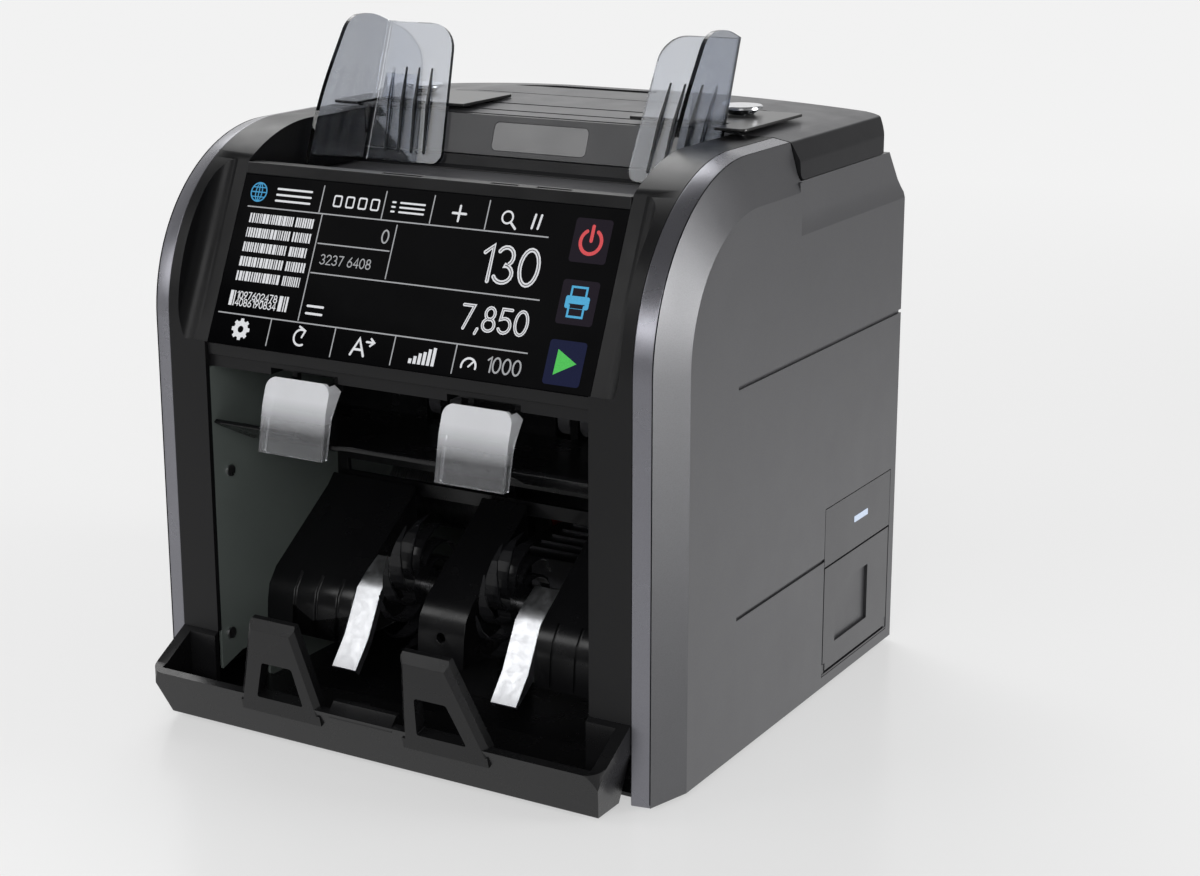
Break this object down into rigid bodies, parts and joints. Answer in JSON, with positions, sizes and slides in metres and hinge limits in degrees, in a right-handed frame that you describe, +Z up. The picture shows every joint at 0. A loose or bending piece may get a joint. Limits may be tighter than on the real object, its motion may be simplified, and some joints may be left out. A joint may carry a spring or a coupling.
{
  "type": "banknote counter",
  "caption": "Desktop banknote counter with a top hopper, tilted touch display, reject pocket over a stacker pocket, and a receipt printer in its side.",
  "frame": {"origin": "middle of the rectangle that the machine covers on the table, at the underside of its feet", "axes": "+Z up, the front with the pockets faces -Y, +X to the machine's right as seen from the front, on the printer's side"},
  "size_m": [0.2563, 0.2684, 0.2993],
  "materials": {
    "cover": "satin metallic grey",
    "trim": "bright satin silver",
    "frame_black": "fine satin black",
    "tray_black": "fine satin black",
    "hopper_grey": "satin dark grey",
    "lid_grey": "satin dark grey",
    "block_black": "satin black",
    "screen": "gloss black",
    "window": "gloss",
    "smoked": "smoked clear",
    "clear": "clear",
    "chassis": "zinc plated",
    "polished": "polished",
    "steel": "ground",
    "bronze": "plain",
    "rubber": "matt",
    "tyre": "matt grey",
    "board": "soldermask",
    "psu": "plain",
    "inlet": "matt",
    "rocker": "gloss",
    "paper": "matt white",
    "lens": "diffuse",
    "slider": "matt"
  },
  "bodies": {
    "casing": {"base_plate": "chassis", "feet": "rubber", "side_cover_left": "cover", "side_cover_right": "cover", "trim_strip_left": "trim", "trim_strip_right": "trim", "front_frame": "frame_black", "rear_cover": "cover", "lid_hinge_pin": "steel", "display_housing": "frame_black", "display_glass": "screen", "note_tray": "tray_black", "hopper_floor": "hopper_grey", "feed_throat": "hopper_grey", "chassis_plate_left": "chassis", "chassis_plate_right": "chassis", "cross_rods": "steel", "bearing_set": "bronze", "reject_shelf": "block_black", "pocket_back_panel": "block_black", "stacker_block_left": "block_black", "stacker_block_middle": "block_black", "stacker_block_right": "block_black", "note_fingers": "polished", "retard_pad": "rubber", "image_sensor_front": "window", "image_sensor_rear": "window", "drive_motor": "steel", "drive_belts": "rubber", "main_board": "board", "power_supply": "psu", "printer_frame": "frame_black", "printer_bin": "block_black", "status_lens": "lens", "power_inlet": "inlet", "case_screws": "steel"},
    "lid": {"top_lid": "lid_grey", "hopper_back_wall": "hopper_grey", "hopper_window": "window"},
    "guide_left": {"note_guide_left": "smoked", "guide_slider_left": "slider"},
    "guide_right": {"note_guide_right": "smoked", "guide_slider_right": "slider"},
    "knob_left": {"guide_knob_left": "polished"},
    "knob_right": {"guide_knob_right": "polished"},
    "stop_left": {"reject_stop_left": "clear"},
    "stop_right": {"reject_stop_right": "clear"},
    "stacker": {"stacker_shaft": "steel", "stacker_wheel_left": "tyre", "stacker_wheel_right": "tyre"},
    "pickup": {"pickup_roller": "tyre"},
    "feed": {"feed_shaft": "steel", "feed_tyres": "rubber"},
    "transport": {"transport_roller": "tyre"},
    "reject": {"reject_roller": "tyre"},
    "motor_rotor": {"motor_pulley": "steel"},
    "printer_flap": {"printer_door": "frame_black"},
    "platen": {"platen_roller": "rubber"},
    "paper": {"paper_roll": "paper"},
    "rocker": {"power_rocker": "rocker"}
  },
  "joints": [
    {"name": "lid_hinge", "type": "hinge", "parent": "casing", "child": "lid", "pos_m": [0, 0.11272, 0.2429], "axis": [-1, 0, 0], "range_deg": [0, 65]},
    {"name": "guide_left_slide", "type": "slide", "parent": "lid", "child": "guide_left", "axis": [1, 0, 0], "range_m": [0, 0.034]},
    {"name": "guide_right_slide", "type": "slide", "parent": "lid", "child": "guide_right", "axis": [-1, 0, 0], "range_m": [0, 0.034]},
    {"name": "knob_left_turn", "type": "hinge", "parent": "guide_left", "child": "knob_left", "pos_m": [-0.083, 0.05322, 0.2605], "axis": [0, 0, 1], "range_deg": [0, 180]},
    {"name": "knob_right_turn", "type": "hinge", "parent": "guide_right", "child": "knob_right", "pos_m": [0.083, 0.05322, 0.2605], "axis": [0, 0, 1], "range_deg": [0, 180]},
    {"name": "stop_left_hinge", "type": "hinge", "parent": "casing", "child": "stop_left", "pos_m": [-0.0447, -0.09578, 0.154], "axis": [-1, 0, 0], "range_deg": [0, 65]},
    {"name": "stop_right_hinge", "type": "hinge", "parent": "casing", "child": "stop_right", "pos_m": [0.0447, -0.09578, 0.154], "axis": [-1, 0, 0], "range_deg": [0, 65]},
    {"name": "motor_spin", "type": "hinge", "parent": "casing", "child": "motor_rotor", "pos_m": [-0.1, 0.05022, 0.0665], "axis": [1, 0, 0], "continuous": true},
    {"name": "stacker_spin", "type": "hinge", "parent": "casing", "child": "stacker", "pos_m": [0, -0.04348, 0.055], "axis": [1, 0, 0], "continuous": true},
    {"name": "transport_spin", "type": "hinge", "parent": "casing", "child": "transport", "pos_m": [0, 0.00262, 0.1525], "axis": [1, 0, 0], "continuous": true},
    {"name": "feed_spin", "type": "hinge", "parent": "casing", "child": "feed", "pos_m": [0, -0.00778, 0.2095], "axis": [1, 0, 0], "continuous": true},
    {"name": "pickup_spin", "type": "hinge", "parent": "casing", "child": "pickup", "pos_m": [0, -0.03478, 0.2165], "axis": [1, 0, 0], "continuous": true},
    {"name": "reject_spin", "type": "hinge", "parent": "casing", "child": "reject", "pos_m": [0, 0.00022, 0.1285], "axis": [1, 0, 0], "continuous": true},
    {"name": "door_hinge", "type": "hinge", "parent": "casing", "child": "printer_flap", "pos_m": [0.1262, 0.08972, 0.011], "axis": [0, 1, 0], "range_deg": [0, 80]},
    {"name": "platen_spin", "type": "hinge", "parent": "printer_flap", "child": "platen", "pos_m": [0.1204, 0.08972, 0.054], "axis": [0, 1, 0], "continuous": true},
    {"name": "paper_spin", "type": "hinge", "parent": "casing", "child": "paper", "pos_m": [0.097, 0.08972, 0.0281], "axis": [0, 1, 0], "continuous": true},
    {"name": "rocker_tilt", "type": "hinge", "parent": "casing", "child": "rocker", "pos_m": [-0.048, 0.12722, 0.0325], "axis": [1, 0, 0], "range_deg": [-8, 8]}
  ],
  "couplings": [
    {"joint": "stacker_spin", "follows": "motor_spin", "ratio": 0.4},
    {"joint": "transport_spin", "follows": "motor_spin", "ratio": 0.8},
    {"joint": "feed_spin", "follows": "motor_spin", "ratio": 0.8},
    {"joint": "pickup_spin", "follows": "motor_spin", "ratio": 0.8},
    {"joint": "reject_spin", "follows": "motor_spin", "ratio": 0.8}
  ]
}
